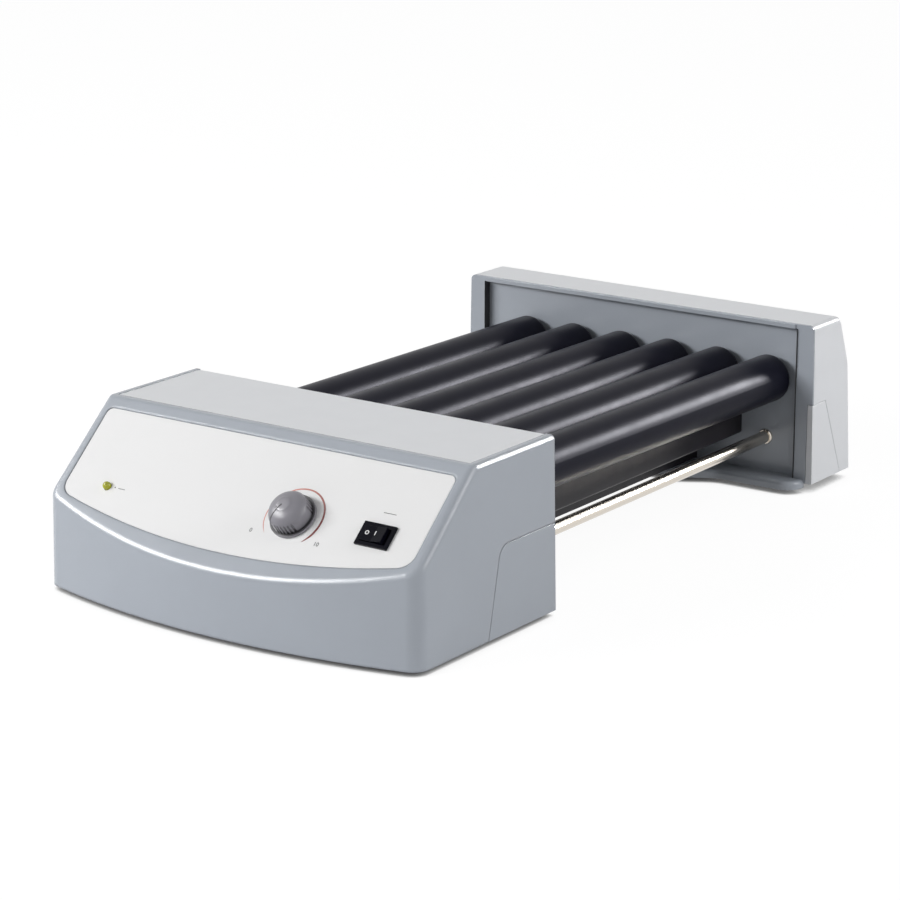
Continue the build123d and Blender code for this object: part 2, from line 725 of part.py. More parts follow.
for sx in (-1, 1):
    for pad_y, z0 in ((front_pad_y, front_floor_z), (rear_pad_y, z_rb)):
        x = sx * spine_fix_x
        y = sum(pad_y) / 2
        hole = rod_up(x, y, screw_hole, z0 - 1, spine_z0 + 5)
        pocket = rod_up(x, y, head_pocket, z0 - 1, z0 + head_height)
        if y < 0:
            front_base = front_base - hole - pocket
        else:
            rear_base = rear_base - hole - pocket
        base_spine = base_spine - rod_up(x, y, 1.45, spine_z0 - 1, spine_z0 + 6.5)
        stem = rod_up(x, y, 1.4, z0 + 0.5, spine_z0 + 6)
        spine_screws.append(stem + rod_up(x, y, head_radius, z0 - 0.4, z0 + head_height))

base_screws = []
for x, y in post_spots:
    base_screws.append(
        rod_up(x, y, screw_radius, front_floor_z, front_floor_top + 12)
        + rod_up(x, y, head_radius, front_floor_z - 0.3, front_floor_z + head_height)
    )
for x, y in rear_posts:
    base_screws.append(
        rod_up(x, y, screw_radius, z_rb, rear_floor_top + 12)
        + rod_up(x, y, head_radius, z_rb - 0.3, z_rb + head_height)
    )
base_screws = base_screws + spine_screws

# Rollers: a straight shaft with two eccentric hubs, and the rubber body
body_y0 = y_a + end_gap
body_y1 = wall_y0 - end_gap
body_mid = (body_y0 + body_y1) / 2
body_length = body_y1 - body_y0
tilt = math.degrees(math.asin(2 * roller_throw / body_length))
hub_radius = roller_radius - 3.5
hub_length = 12.0
end_wall = 8.0
shaft_y0 = g_plate_y0 + 0.2
shaft_y1 = r_plate_y1 + 4.0


def tilted(x, shape):
    """Lean a Y-axis shape about the middle of the roller, then turn the lean."""
    lean = Rot(0, 0, -tilt) * shape
    return Pos(x, body_mid, roller_axis_z) * Rot(0, -roller_throw_angle, 0) * lean


def local_rod(radius, y0, y1):
    """Cylinder along Y about the origin of the roller's middle."""
    return Pos(0, (y0 + y1) / 2, 0) * Rot(90, 0, 0) * Cylinder(radius, y1 - y0)


sleeves = []
cores = []
half_len = body_length / 2
end_radius = 5.0
for x in roller_x:
    skin = local_rod(roller_radius, -half_len, half_len)
    rings = skin.edges().filter_by(GeomType.CIRCLE)
    skin = fillet(rings, end_radius)
    hollow = local_rod(hub_radius, -half_len + end_wall, half_len - end_wall)
    sleeve = tilted(x, skin - hollow)
    sleeve = sleeve - rod_y(x, roller_axis_z, shaft_radius + 0.3, y_a, wall_y0)
    sleeves.append(sleeve)
    hubs = local_rod(hub_radius - slide_gap, -half_len + end_wall, -half_len + end_wall + hub_length)
    hubs_2 = local_rod(hub_radius - slide_gap, half_len - end_wall - hub_length, half_len - end_wall)
    core = rod_y(x, roller_axis_z, shaft_radius, shaft_y0, shaft_y1)
    core = core + tilted(x, hubs) + tilted(x, hubs_2)
    cores.append(core)

# Controls
deck = label_thickness - label_recess
knob_gap = 0.4
knob_base = deck + knob_gap
pot_radius = 8.5
pot_shaft_radius = 3.0
pot_depth = 9.0
inner_face = -wall
potentiometer = on_slope(knob_x, knob_s, inner_face - pot_depth / 2) * Cylinder(pot_radius, pot_depth)
bushing = on_slope(knob_x, knob_s, (inner_face + deck - 0.1) / 2) * Cylinder(
    shaft_hole - 0.1, -inner_face + deck - 0.1
)
potentiometer = potentiometer + bushing
terminals = [
    on_slope(knob_x + dx, knob_s + pot_radius + 0.5, inner_face - 3.0) * Box(1.2, 9.0, 0.8)
    for dx in (-5, 0, 5)
]
potentiometer = join([potentiometer] + terminals)
potentiometer = potentiometer - on_slope(knob_x, knob_s) * Pos(0, 0, -3) * Cylinder(
    pot_shaft_radius + slide_gap, 14
)
pot_shaft_top = knob_base + knob_height - 4.0
pot_shaft_low = -9.9
pot_shaft = on_slope(knob_x, knob_s, (pot_shaft_top + pot_shaft_low) / 2) * Cylinder(
    pot_shaft_radius, pot_shaft_top - pot_shaft_low
)

# knob: low flange, grip with three groups of grooves, domed cap
grip_radius = knob_radius - 1.6
flange_top = 1.5
cap_start = 6.5
cap_radius = grip_radius - 0.3
cap_rise = knob_height - cap_start
cap_points = []
for share in (0.0, 0.33, 0.55, 0.73, 0.9, 1.0):
    cap_points.append((0, cap_radius * math.sqrt(1 - share * share), cap_start + cap_rise * share))
knob_half = make_face(
    Polyline(
        (0, 0, knob_height),
        (0, 0, 0),
        (0, knob_radius, 0),
        (0, knob_radius, flange_top),
        (0, grip_radius, flange_top),
        (0, cap_radius, cap_start),
    )
    + Spline(*cap_points, tangents=[(0, 0, 1), (0, -1, 0)])
)
knob_body = revolve(knob_half, Axis.Z, 360)
groove_radius = 0.85
groove_step = 10.5
for group in (60.0, 180.0, 300.0):
    for k in range(6):
        a = group + groove_step * (k - 2.5)
        groove = Pos(grip_radius + 0.15, 0, flange_top + 4.0) * Rot(0, -3, 0) * Cylinder(groove_radius, 8.0)
        knob_body = knob_body - Rot(0, 0, a) * groove
bore_depth = knob_height - 4.0
knob_body = knob_body - Pos(0, 0, bore_depth / 2 - 0.5) * Cylinder(pot_shaft_radius + 0.02, bore_depth + 1.0)
pointer_length = 11.0
pointer_tilt = 18.0
pointer = Pos(7.6, 0, knob_height - 0.4) * Rot(0, pointer_tilt, 0) * Box(pointer_length, 0.9, 2.2)
side_line = Pos(grip_radius, 0, cap_start - 1.0) * Box(1.2, 0.9, 2 * (cap_start - flange_top) - 1.4)
knob_body = knob_body - pointer - side_line
knob_rest = 225.0
knob = on_slope(knob_x, knob_s, knob_base) * Rot(0, 0, knob_rest) * knob_body

flange_height = 1.6
switch_flange = on_slope(switch_x, switch_s, deck + flange_height / 2) * Box(
    switch_length, switch_width, flange_height
)
switch_case_depth = 14.0
switch_case = on_slope(switch_x, switch_s, deck - switch_case_depth / 2) * Box(
    switch_hole_l - 0.3, switch_hole_w - 0.3, switch_case_depth
)
switch_body = switch_flange + switch_case
well = on_slope(switch_x, switch_s, deck + flange_height - 4.0) * Box(
    switch_length - 4.6, switch_width - 4.6, 8.02
)
switch_body = switch_body - well
blades = [
    on_slope(switch_x + dx, switch_s, deck - switch_case_depth - 2.5) * Box(0.8, 4.8, 6.0)
    for dx in (-5, 5)
]
switch_body = join([switch_body] + blades)
rocker_length = switch_length - 6.2
rocker_width = switch_width - 5.4
rocker_angle = 7.0
axle_drop = 3.2
axle_z = deck + flange_height - axle_drop
with_axis = on_slope(switch_x, switch_s, axle_z)
half_l = rocker_length / 2
rocker_face = make_face(
    Polyline(
        (-half_l, 0.4),
        (-half_l, axle_drop + 1.6),
        (0, axle_drop + 0.7),
        (half_l, axle_drop + 1.6),
        (half_l, 0.4),
        (1.8, -2.2),
        (-1.8, -2.2),
        (-half_l, 0.4),
    )
)
rocker_prism = Rot(90, 0, 0) * extrude(rocker_face, rocker_width / 2, both=True)
axle = Rot(90, 0, 0) * Cylinder(1.2, switch_width - 3.4)
switch_rocker = with_axis * Rot(0, -rocker_angle, 0) * (rocker_prism + axle)
switch_body = switch_body - with_axis * Rot(90, 0, 0) * Cylinder(1.2 + slide_gap, switch_width - 3.2)

lamp_stem = on_slope(lamp_x, lamp_s, -2.5) * Cylinder(lamp_radius, 5.0 + 1.4)
lamp_dome = on_slope(lamp_x, lamp_s, 0.7) * Sphere(lamp_radius)
lamp_flange = on_slope(lamp_x, lamp_s, inner_face - 0.6) * Cylinder(lamp_radius + 1.0, 1.2)
led_lamp = lamp_stem + lamp_dome + lamp_flange

board_thickness = 1.6
control_board = block(board_x0, board_x1, board_y0, board_y1, board_z, board_z + board_thickness)
chips = [
    (30, 22, 10, 16, 3.5),
    (52, 34, 8, 8, 2.0),
    (66, 18, 12, 10, 9.0),
    (24, 40, 6, 14, 6.0),
    (48, 12, 14, 5, 2.5),
]
for cx, cy, w, d, h in chips:
    x = board_x0 + cx
    y = board_y0 + cy
    z = board_z + board_thickness
    control_board = control_board + block(x - w / 2, x + w / 2, y - d / 2, y + d / 2, z - 0.2, z + h)
for cx, cy in ((76, 38), (76, 26)):
    can_z = board_z + board_thickness
    control_board = control_board + rod_up(board_x0 + cx, board_y0 + cy, 4.0, can_z - 0.2, can_z + 12)
board_screws = []
for x in (board_x0 + board_hole, board_x1 - board_hole):
    for y in (board_y0 + board_hole, board_y1 - board_hole):
        control_board = control_board - rod_up(x, y, 1.7, board_z - 1, board_z + 5)
        front_base = front_base - rod_up(x, y, 1.3, front_floor_top + 1, board_z + 1)
        top = board_z + board_thickness
        stem = rod_up(x, y, 1.25, front_floor_top + 1.2, top)
        board_screws.append(stem + rod_up(x, y, 2.6, top, top + 1.8))

inlet_x = -half_f
tube = Pos(inlet_x + 4.6, inlet_y, inlet_z) * Rot(0, 90, 0) * Cylinder(5.8, 14)
power_inlet = tube & block(inlet_x - 0.9, inlet_x + 14, inlet_y - 10, inlet_y + 10, 0, 60)
nut_back = Pos(inlet_x + wall + 2.0, inlet_y, inlet_z) * Rot(0, 90, 0) * Cylinder(7.4, 2.0)
power_inlet = power_inlet + nut_back
power_inlet = power_inlet - Pos(inlet_x + 3, inlet_y, inlet_z) * Rot(0, 90, 0) * Cylinder(3.2, 12)
power_inlet = power_inlet + Pos(inlet_x + 4.5, inlet_y, inlet_z) * Rot(0, 90, 0) * Cylinder(1.0, 10)

# Feet
foot_radius = 7.0


def foot(x, y, top):
    """Rubber foot, slightly coned."""
    return Pos(x, y, top / 2) * Cone(foot_radius - 0.8, foot_radius, top)


front_foot_x = half_f - 38.5
back_foot_x = half_f - 30.5
rear_foot_x = half_r - 39.5
front_feet = []
rear_feet = []
for sx in (-1, 1):
    front_feet.append(foot(sx * front_foot_x, y_a - front_depth + 32.5, front_floor_z))
    front_feet.append(foot(sx * back_foot_x, y_a - 18.0, front_floor_z))
    rear_feet.append(foot(sx * rear_foot_x, y_b + 18.0, z_rb))
    rear_feet.append(foot(sx * rear_foot_x, y_c - 14.0, z_rb))

os.makedirs("parts", exist_ok=True)
save("front_shell", front_shell)
save("front_top_cover", front_top_cover)
save("control_label", control_label)
save("front_base", front_base)
save("front_back_panel", front_back_panel)
save("front_bearing_plate", front_bearing_plate)
save("gear_plate", gear_plate)
save("plate_standoffs", Compound(children=standoffs))
for n, shape in enumerate(gears):
    save("roller_gear_" + str(n + 1), shape)
for n, shape in enumerate(idlers):
    save("idler_gear_" + str(n + 1), shape)
save("idler_pins", Compound(children=pins))
save("front_bearings", Compound(children=front_bearings))
save("rear_bearings", Compound(children=rear_bearings))
save("gear_motor", gear_motor)
save("motor_pinion", motor_pinion)
save("motor_screws", Compound(children=motor_screws))
save("control_board", control_board)
save("board_screws", Compound(children=board_screws))
save("potentiometer", potentiometer)
save("pot_shaft", pot_shaft)
save("knob", knob)
save("switch_body", switch_body)
save("switch_rocker", switch_rocker)
save("led_lamp", led_lamp)
save("power_inlet", power_inlet)
save("front_feet", Compound(children=front_feet))
save("rear_feet", Compound(children=rear_feet))
save("rear_cover", rear_cover)
save("rear_bezel", rear_bezel)
save("rear_base", rear_base)
save("rear_bearing_plate", rear_bearing_plate)
save("side_rod_left", rods[0])
save("side_rod_right", rods[1])
save("rod_collars", Compound(children=collars))
save("rod_nuts", Compound(children=nuts))
save("drip_tray", drip_tray)
save("base_spine", base_spine)
save("base_screws", Compound(children=base_screws))
for n in range(roller_count):
    save("roller_sleeve_" + str(n + 1), sleeves[n])
    save("roller_core_" + str(n + 1), cores[n])
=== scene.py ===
import json
import math

import bmesh
import bpy
from mathutils import Matrix, Vector
from mathutils.bvhtree import BVHTree


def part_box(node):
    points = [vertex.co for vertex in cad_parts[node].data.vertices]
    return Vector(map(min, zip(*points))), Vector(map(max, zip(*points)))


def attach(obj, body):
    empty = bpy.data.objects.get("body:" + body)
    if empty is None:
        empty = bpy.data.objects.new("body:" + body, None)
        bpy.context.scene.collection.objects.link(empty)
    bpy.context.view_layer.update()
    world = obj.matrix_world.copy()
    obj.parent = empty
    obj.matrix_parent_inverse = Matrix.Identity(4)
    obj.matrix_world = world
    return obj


# Roller mixer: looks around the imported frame, in metres and in the frame's own axes.
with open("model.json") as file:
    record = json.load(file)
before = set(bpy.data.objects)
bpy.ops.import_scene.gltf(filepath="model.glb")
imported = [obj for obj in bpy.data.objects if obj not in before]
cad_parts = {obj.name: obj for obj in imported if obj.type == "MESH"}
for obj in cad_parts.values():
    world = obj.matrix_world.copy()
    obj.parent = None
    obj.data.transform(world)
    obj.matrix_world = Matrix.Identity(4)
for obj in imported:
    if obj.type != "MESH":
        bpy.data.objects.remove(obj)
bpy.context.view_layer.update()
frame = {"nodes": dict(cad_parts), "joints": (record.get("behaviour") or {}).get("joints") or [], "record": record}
nodes = frame["nodes"]
joints = {joint["name"]: joint for joint in frame["joints"]}
MM = 0.001
MICRON = 0.000001

# camera
VIEW_AZIMUTH = 35.54
VIEW_ELEVATION = 15.77
VIEW_PLACE = (1.0400, -1.4713, 0.5618)
LENS = 121.3
SENSOR = 36.0

# colours, linear
GREY = (0.365, 0.395, 0.440)
PALE = (0.72, 0.735, 0.76)
FILM = (0.84, 0.84, 0.84)
SCALE_PALE = (0.66, 0.24, 0.19)
SCALE_DARK = (0.16, 0.018, 0.015)
INK = (0.045, 0.045, 0.05)
WHITE_INK = (0.80, 0.80, 0.80)


# node helpers

def put(tree, kind, inputs=None, **settings):
    """Add a shader node, with its plain settings and its input values."""
    node = tree.nodes.new(kind)
    for key, value in settings.items():
        setattr(node, key, value)
    for key, value in (inputs or {}).items():
        node.inputs[key].default_value = value
    return node


def noise(tree, cell, detail=2.0, stretch=(1.0, 1.0, 1.0)):
    """Noise in object space whose features are about one cell (metres) across."""
    coords = put(tree, "ShaderNodeTexCoord")
    mapping = put(tree, "ShaderNodeMapping", {"Scale": stretch})
    texture = put(tree, "ShaderNodeTexNoise", {"Scale": 1.0 / cell, "Detail": detail})
    tree.links.new(coords.outputs["Object"], mapping.inputs["Vector"])
    tree.links.new(mapping.outputs["Vector"], texture.inputs["Vector"])
    return texture.outputs["Fac"]


def remap(tree, value, low, high, start=0.3, end=0.7):
    """Map a noise value onto a range."""
    ends = {"From Min": start, "From Max": end, "To Min": low, "To Max": high}
    node = put(tree, "ShaderNodeMapRange", ends)
    tree.links.new(value, node.inputs["Value"])
    return node.outputs["Result"]


def two_tone(tree, factor, first, second):
    """Mix two colours by a factor."""
    node = put(tree, "ShaderNodeMix", data_type="RGBA")
    node.inputs[6].default_value = (*first, 1.0)
    node.inputs[7].default_value = (*second, 1.0)
    tree.links.new(factor, node.inputs[0])
    return node.outputs[2]


def shade(color, amount):
    """A colour made lighter or darker by a share."""
    return tuple(min(1.0, c * amount) for c in color)


# painted shade in grooves: the colour it falls to, and the occlusion range it spans
GROOVE_SHADE = 0.06
GROOVE_RANGE = (0.62, 0.95)


def painted_groove_shade(tree, paint, color, reach):
    """Painted shade: darken the paint where the piece's own walls stand close around, as in grooves and creases.
    """
    hollow = put(tree, "ShaderNodeAmbientOcclusion", {"Distance": reach}, samples=8, only_local=True)
    groove = put(tree, "ShaderNodeMix", data_type="RGBA")
    groove.inputs[6].default_value = (*shade(color, GROOVE_SHADE), 1.0)
    tree.links.new(remap(tree, hollow.outputs["AO"], 0.0, 1.0, *GROOVE_RANGE), groove.inputs[0])
    tree.links.new(paint, groove.inputs[7])
    return groove.outputs[2]


def surface_normal(tree, soften, grain, depth, stretch):
    """Normal with softened edges, fine grain or both, and None where the surface has neither."""
    normal = None
    if soften > 0.0:
        edge = put(tree, "ShaderNodeBevel", {"Radius": soften}, samples=4)
        normal = edge.outputs["Normal"]
    if grain > 0.0:
        bump = put(tree, "ShaderNodeBump", {"Strength": 1.0, "Distance": depth})
        tree.links.new(noise(tree, grain, 2.0, stretch), bump.inputs["Height"])
        if normal is not None:
            tree.links.new(normal, bump.inputs["Normal"])
        normal = bump.outputs["Normal"]
    return normal


def material(name, color, roughness, metallic=0.0, tone=0.04, spread=0.05, cell=0.03,
             grain=0.0, depth=0.0, stretch=(1.0, 1.0, 1.0), soften=0.0, shade_reach=0.0, **sockets):
    """Principled surface with mottled colour and uneven gloss.

    Grain and depth are the size and height of its fine texture, soften is the radius of its edges,
    and the shade reach is how far it looks for walls, near which it darkens the colour as painted shade. Sockets
    are the shader's own inputs."""
    made = bpy.data.materials.new(name)
    made.use_nodes = True
    tree = made.node_tree
    shader = tree.nodes["Principled BSDF"]
    shader.inputs["Metallic"].default_value = metallic
    for key, value in sockets.items():
        shader.inputs[key.replace("_", " ")].default_value = value
    mottle = remap(tree, noise(tree, cell, 3.0, stretch), 0.0, 1.0)
    paint = two_tone(tree, mottle, shade(color, 1 - tone), shade(color, 1 + tone))
    # painted shade where the piece's own walls stand close
    if shade_reach > 0.0:
        paint = painted_groove_shade(tree, paint, color, shade_reach)
    tree.links.new(paint, shader.inputs["Base Color"])
    gloss = noise(tree, cell * 0.4, 4.0, stretch)
    tree.links.new(remap(tree, gloss, roughness - spread, roughness + spread), shader.inputs["Roughness"])
    normal = surface_normal(tree, soften, grain, depth, stretch)
    if normal is not None:
        tree.links.new(normal, shader.inputs["Normal"])
    return made


# finishes, one for each slot of the record
finishes = {
    "grey_plastic": material("grey_plastic", GREY, 0.24, tone=0.012, spread=0.03,
                             grain=2 * MM, depth=4 * MICRON, soften=0.4 * MM),
    "light_plastic": material("light_plastic", PALE, 0.33, tone=0.01, spread=0.03,
                              grain=2 * MM, depth=3 * MICRON, soften=0.4 * MM),
    "label_film": material("label_film", FILM, 0.36, tone=0.003, spread=0.02, cell=80 * MM,
                           Specular_IOR_Level=0.05),
    "plate_steel": material("plate_steel", (0.56, 0.57, 0.59), 0.38, 1.0, tone=0.06, spread=0.08,
                            stretch=(1.0, 8.0, 8.0), grain=1 * MM, depth=10 * MICRON),
    "bright_steel": material("bright_steel", (0.63, 0.63, 0.64), 0.34, 1.0, tone=0.04,
                             stretch=(6.0, 1.0, 6.0), grain=0.8 * MM, depth=10 * MICRON),
    "bronze": material("bronze", (0.50, 0.33, 0.17), 0.42, 1.0, tone=0.10, cell=2 * MM,
                       grain=0.3 * MM, depth=20 * MICRON),
    "motor_metal": material("motor_metal", (0.32, 0.33, 0.35), 0.40, 0.9, tone=0.05,
                            grain=0.6 * MM, depth=10 * MICRON),
    "circuit_board": material("circuit_board", (0.03, 0.17, 0.08), 0.35, tone=0.25, cell=2 * MM,
                              grain=0.8 * MM, depth=30 * MICRON),
    # the knob paints shade into its flutes and round its flange
    "knob_plastic": material("knob_plastic", (0.215, 0.210, 0.235), 0.36, tone=0.02,
                             grain=1 * MM, depth=4 * MICRON, soften=0.2 * MM, shade_reach=4 * MM),
    "black_plastic": material("black_plastic", (0.0025, 0.0025, 0.0060), 0.14, tone=0.2,
                              grain=1 * MM, depth=3 * MICRON, soften=0.3 * MM, Specular_IOR_Level=0.08),
    "lamp_lens": material("lamp_lens", (0.36, 0.37, 0.012), 0.10, tone=0.25, cell=2 * MM, spread=0.03),
    "foot_rubber": material("foot_rubber", (0.028, 0.028, 0.03), 0.7, tone=0.2,
                            grain=0.8 * MM, depth=60 * MICRON),
    "polished_rod": material("polished_rod", (0.66, 0.61, 0.54), 0.21, 1.0, tone=0.03, spread=0.03,
                             stretch=(8.0, 0.3, 8.0), grain=0.8 * MM, depth=6 * MICRON),
    "black_tray": material("black_tray", (0.019, 0.018, 0.022), 0.40, tone=0.15,
                           grain=1.6 * MM, depth=12 * MICRON, Specular_IOR_Level=0.2),
    "roller_rubber": material("roller_rubber", (0.0065, 0.0066, 0.0130), 0.35, tone=0.12, spread=0.03,
                              grain=1.5 * MM, depth=3 * MICRON, Specular_IOR_Level=0.08,
                              Specular_Tint=(0.82, 0.82, 1.0, 1.0)),
    "gear_nylon": material("gear_nylon", (0.78, 0.77, 0.71), 0.42, tone=0.03,
                           grain=0.8 * MM, depth=20 * MICRON, Subsurface_Weight=0.1),
}
for row in frame["record"]["subparts"]:
    item = nodes[row["node"]]
    item.data.materials.clear()
    item.data.materials.append(finishes[row["material_slot"]])

# the drive housing's shell has larger roundings than the other grey mouldings
nodes["front_shell"].data.materials[0] = material("grey_shell", GREY, 0.22, tone=0.012, spread=0.03,
                                                  grain=2 * MM, depth=4 * MICRON, soften=2.2 * MM)


# control panel frame: x across, up the slope, lift off the label

def panel_matrix():
    """Frame whose origin is the middle of the label's face, with +Y up the slope."""
    faces = [p for p in nodes["control_label"].data.polygons if p.normal.z > 0.5]
    widest = max(faces, key=lambda p: p.area)
    normal = widest.normal.copy()
    across = Vector((1, 0, 0))
    up = normal.cross(across)
    matrix = Matrix((across, up, normal)).transposed().to_4x4()
    matrix.translation = Vector((0, widest.center.y, widest.center.z))
    return matrix


panel = panel_matrix()
to_panel = panel.inverted()
knob_spot = to_panel @ Vector(joints["speed_knob_turn"]["pos_m"])


def new_piece(name, mesh, body, finish, smooth=True):
    """Wrap a bmesh as a piece that rides on a body."""
    data = bpy.data.meshes.new(name)
    mesh.to_mesh(data)
    mesh.free()
    for polygon in data.polygons:
        polygon.use_smooth = smooth
    piece = bpy.data.objects.new(name, data)
    bpy.context.scene.collection.objects.link(piece)
    data.materials.append(finish)
    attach(piece, body)
    return piece


# printed speed scale: an arc that widens clockwise, thin pale to strong dark

SCALE_RADIUS = 18.8 * MM
SCALE_START = 223.5
SCALE_END = -46.5
SCALE_THIN = 0.4 * MM
SCALE_THICK = 1.25 * MM
SWELL_POWER = 1.5
TIP_WIDTH = 0.25
TIP_GROWTH = 12.0
SCALE_ROUGHNESS = 0.35
PRINT_LIFT = 0.04 * MM
PRINT_THICK = 0.06 * MM


def arc_strip(centre, radius, start, end, width_start, width_end, steps=96):
    """Flat strip along an arc of the label, as wide as the two widths say, with real thickness."""
    mesh = bmesh.new()
    rows = []
    for k in range(steps + 1):
        share = k / steps
        angle = math.radians(start + (end - start) * share)
        half = 0.5 * (width_start + (width_end - width_start) * math.sin(share * math.pi * 0.5) ** SWELL_POWER)
        taper = min(1.0, TIP_GROWTH * min(share, 1 - share) + TIP_WIDTH)
        direction = Vector((math.cos(angle), math.sin(angle), 0))
        ring = []
        inner = radius - half * taper
        outer = radius + half * taper
        for r, lift in ((inner, 0), (outer, 0), (outer, PRINT_THICK), (inner, PRINT_THICK)):
            local = Vector((centre.x, centre.y, PRINT_LIFT + lift)) + direction * r
            ring.append(mesh.verts.new(panel @ local))
        rows.append(ring)
    for first, second in zip(rows, rows[1:]):
        for a in range(4):
            b = (a + 1) % 4
            mesh.faces.new((first[a], first[b], second[b], second[a]))
    mesh.faces.new(rows[0][::-1])
    mesh.faces.new(rows[-1])
    bmesh.ops.recalc_face_normals(mesh, faces=mesh.faces[:])
    return mesh


def scale_ink():
    """Red ink that deepens from the left of the dial to its right."""
    made = bpy.data.materials.new("scale_ink")
    made.use_nodes = True
    tree = made.node_tree
    shader = tree.nodes["Principled BSDF"]
    shader.inputs["Roughness"].default_value = SCALE_ROUGHNESS
    coords = put(tree, "ShaderNodeTexCoord")
    split = put(tree, "ShaderNodeSeparateXYZ")
    tree.links.new(coords.outputs["Object"], split.inputs["Vector"])
    centre_x = (panel @ knob_spot).x
    across = remap(tree, split.outputs["X"], 0.0, 1.0, centre_x - SCALE_RADIUS * 0.7, centre_x + SCALE_RADIUS)
    tree.links.new(two_tone(tree, across, SCALE_PALE, SCALE_DARK), shader.inputs["Base Color"])
    return made


red_ink = scale_ink()
dark_ink = material("dark_ink", INK, 0.4, tone=0.1, cell=1 * MM)
white_ink = material("white_ink", WHITE_INK, 0.4, tone=0.03, cell=1 * MM)
scale_arc = arc_strip(knob_spot, SCALE_RADIUS, SCALE_START, SCALE_END, SCALE_THIN, SCALE_THICK)
new_piece("speed_scale", scale_arc, "housing", red_ink, smooth=False)


# small marks, drawn flat in panel coordinates and laid on the surface below them

DROP_HEIGHT = 20 * MM
FONT_PER_HEIGHT = 1.4


def drop(mesh, target, lift):
    """Lay a flat mesh, given in panel coordinates, on a node's surface, and give it thickness."""
    tree = BVHTree.FromObject(nodes[target], bpy.context.evaluated_depsgraph_get())
    normal = (panel.to_3x3() @ Vector((0, 0, 1))).normalized()
    for vert in mesh.verts:
        start = panel @ Vector((vert.co.x, vert.co.y, 0)) + normal * DROP_HEIGHT
        hit = tree.ray_cast(start, -normal)[0]
        vert.co = (hit if hit is not None else start - normal * DROP_HEIGHT) + normal * lift
    skin = bmesh.ops.extrude_face_region(mesh, geom=mesh.faces[:])
    for item in skin["geom"]:
        if isinstance(item, bmesh.types.BMVert):
            item.co += normal * PRINT_THICK
    bmesh.ops.recalc_face_normals(mesh, faces=mesh.faces[:])
    return mesh


def flat_ring(centre, outer, inner, steps=40):
    """Flat ring mark."""
    mesh = bmesh.new()
    rows = []
    for k in range(steps):
        angle = 2 * math.pi * k / steps
        across, up = math.cos(angle), math.sin(angle)
        rows.append([mesh.verts.new((centre[0] + r * across, centre[1] + r * up, 0)) for r in (inner, outer)])
    for k in range(steps):
        first, second = rows[k], rows[(k + 1) % steps]
        mesh.faces.new((first[0], first[1], second[1], second[0]))
    return mesh


def flat_bar(centre, width, height):
    """Flat bar mark."""
    mesh = bmesh.new()
    corners = [mesh.verts.new((centre[0] + a * width / 2, centre[1] + b * height / 2, 0))
               for a, b in ((-1, -1), (1, -1), (1, 1), (-1, 1))]
    mesh.faces.new(corners)
    return mesh


def flat_number(text, centre, height):
    """Flat outline of a plain number."""
    curve = bpy.data.curves.new("number", "FONT")
    curve.body = text
    curve.size = height * FONT_PER_HEIGHT
    curve.align_x = "CENTER"
    curve.align_y = "CENTER"
    curve.resolution_u = 4
    holder = bpy.data.objects.new("number", curve)
    drawn = bpy.data.meshes.new_from_object(holder)
    mesh = bmesh.new()
    mesh.from_mesh(drawn)
    bpy.data.objects.remove(holder)
    bpy.data.curves.remove(curve)
    bpy.data.meshes.remove(drawn)
    bmesh.ops.translate(mesh, verts=mesh.verts[:], vec=(centre[0], centre[1], 0))
    return mesh


def beside_knob(angle, radius):
    """Panel point at an angle round the knob."""
    turn = math.radians(angle)
    return (knob_spot.x + radius * math.cos(turn), knob_spot.y + radius * math.sin(turn))


NUMBER_RADIUS = 26.5 * MM
NUMBER_HEIGHT = 2.6 * MM
NUMBERS = {"number_low": ("0", 210.0), "number_high": ("10", -30.0)}
for name, (text, angle) in NUMBERS.items():
    number = flat_number(text, beside_knob(angle, NUMBER_RADIUS), NUMBER_HEIGHT)
    number = drop(number, "control_label", PRINT_LIFT)
    new_piece(name, number, "housing", dark_ink, smooth=False)


def middle(node):
    """Middle of a node's box, in panel coordinates."""
    low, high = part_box(node)
    return to_panel @ ((Vector(low) + Vector(high)) / 2)


def beside(spot, offset):
    """Panel point at an offset from a spot."""
    return (spot.x + offset[0], spot.y + offset[1])


# on the rocker: a ring for off and a bar for on
OFF_PLACE = (-4.9 * MM, 0.2 * MM)
OFF_RADII = (1.3 * MM, 0.8 * MM)
ON_PLACE = (0.6 * MM, 0.6 * MM)
ON_SIZE = (0.5 * MM, 2.5 * MM)
rocker = middle("switch_rocker")
rocker_marks = {
    "rocker_off_mark": flat_ring(beside(rocker, OFF_PLACE), *OFF_RADII),
    "rocker_on_mark": flat_bar(beside(rocker, ON_PLACE), *ON_SIZE),
}
for name, mark in rocker_marks.items():
    mark = drop(mark, "switch_rocker", PRINT_LIFT)
    new_piece(name, mark, "power_rocker", white_ink, smooth=False)

# on the label: plain strokes where words would be
DOT_PLACE = (5.6 * MM, 0.4 * MM)
DOT_RADII = (0.45 * MM, 0.05 * MM)
LAMP_RULE_PLACE = (10.6 * MM, 0.2 * MM)
LAMP_RULE_SIZE = (5.0 * MM, 0.35 * MM)
SWITCH_RULE_PLACE = (1.4 * MM, 15.2 * MM)
SWITCH_RULE_SIZE = (8.5 * MM, 0.35 * MM)
lamp = middle("led_lamp")
label_marks = {
    "lamp_dot": flat_ring(beside(lamp, DOT_PLACE), *DOT_RADII),
    "lamp_rule": flat_bar(beside(lamp, LAMP_RULE_PLACE), *LAMP_RULE_SIZE),
    "switch_rule": flat_bar(beside(rocker, SWITCH_RULE_PLACE), *SWITCH_RULE_SIZE),
}
for name, mark in label_marks.items():
    mark = drop(mark, "control_label", PRINT_LIFT)
    new_piece(name, mark, "housing", dark_ink, smooth=False)


# dark pointer line over the knob's cap and down its grip

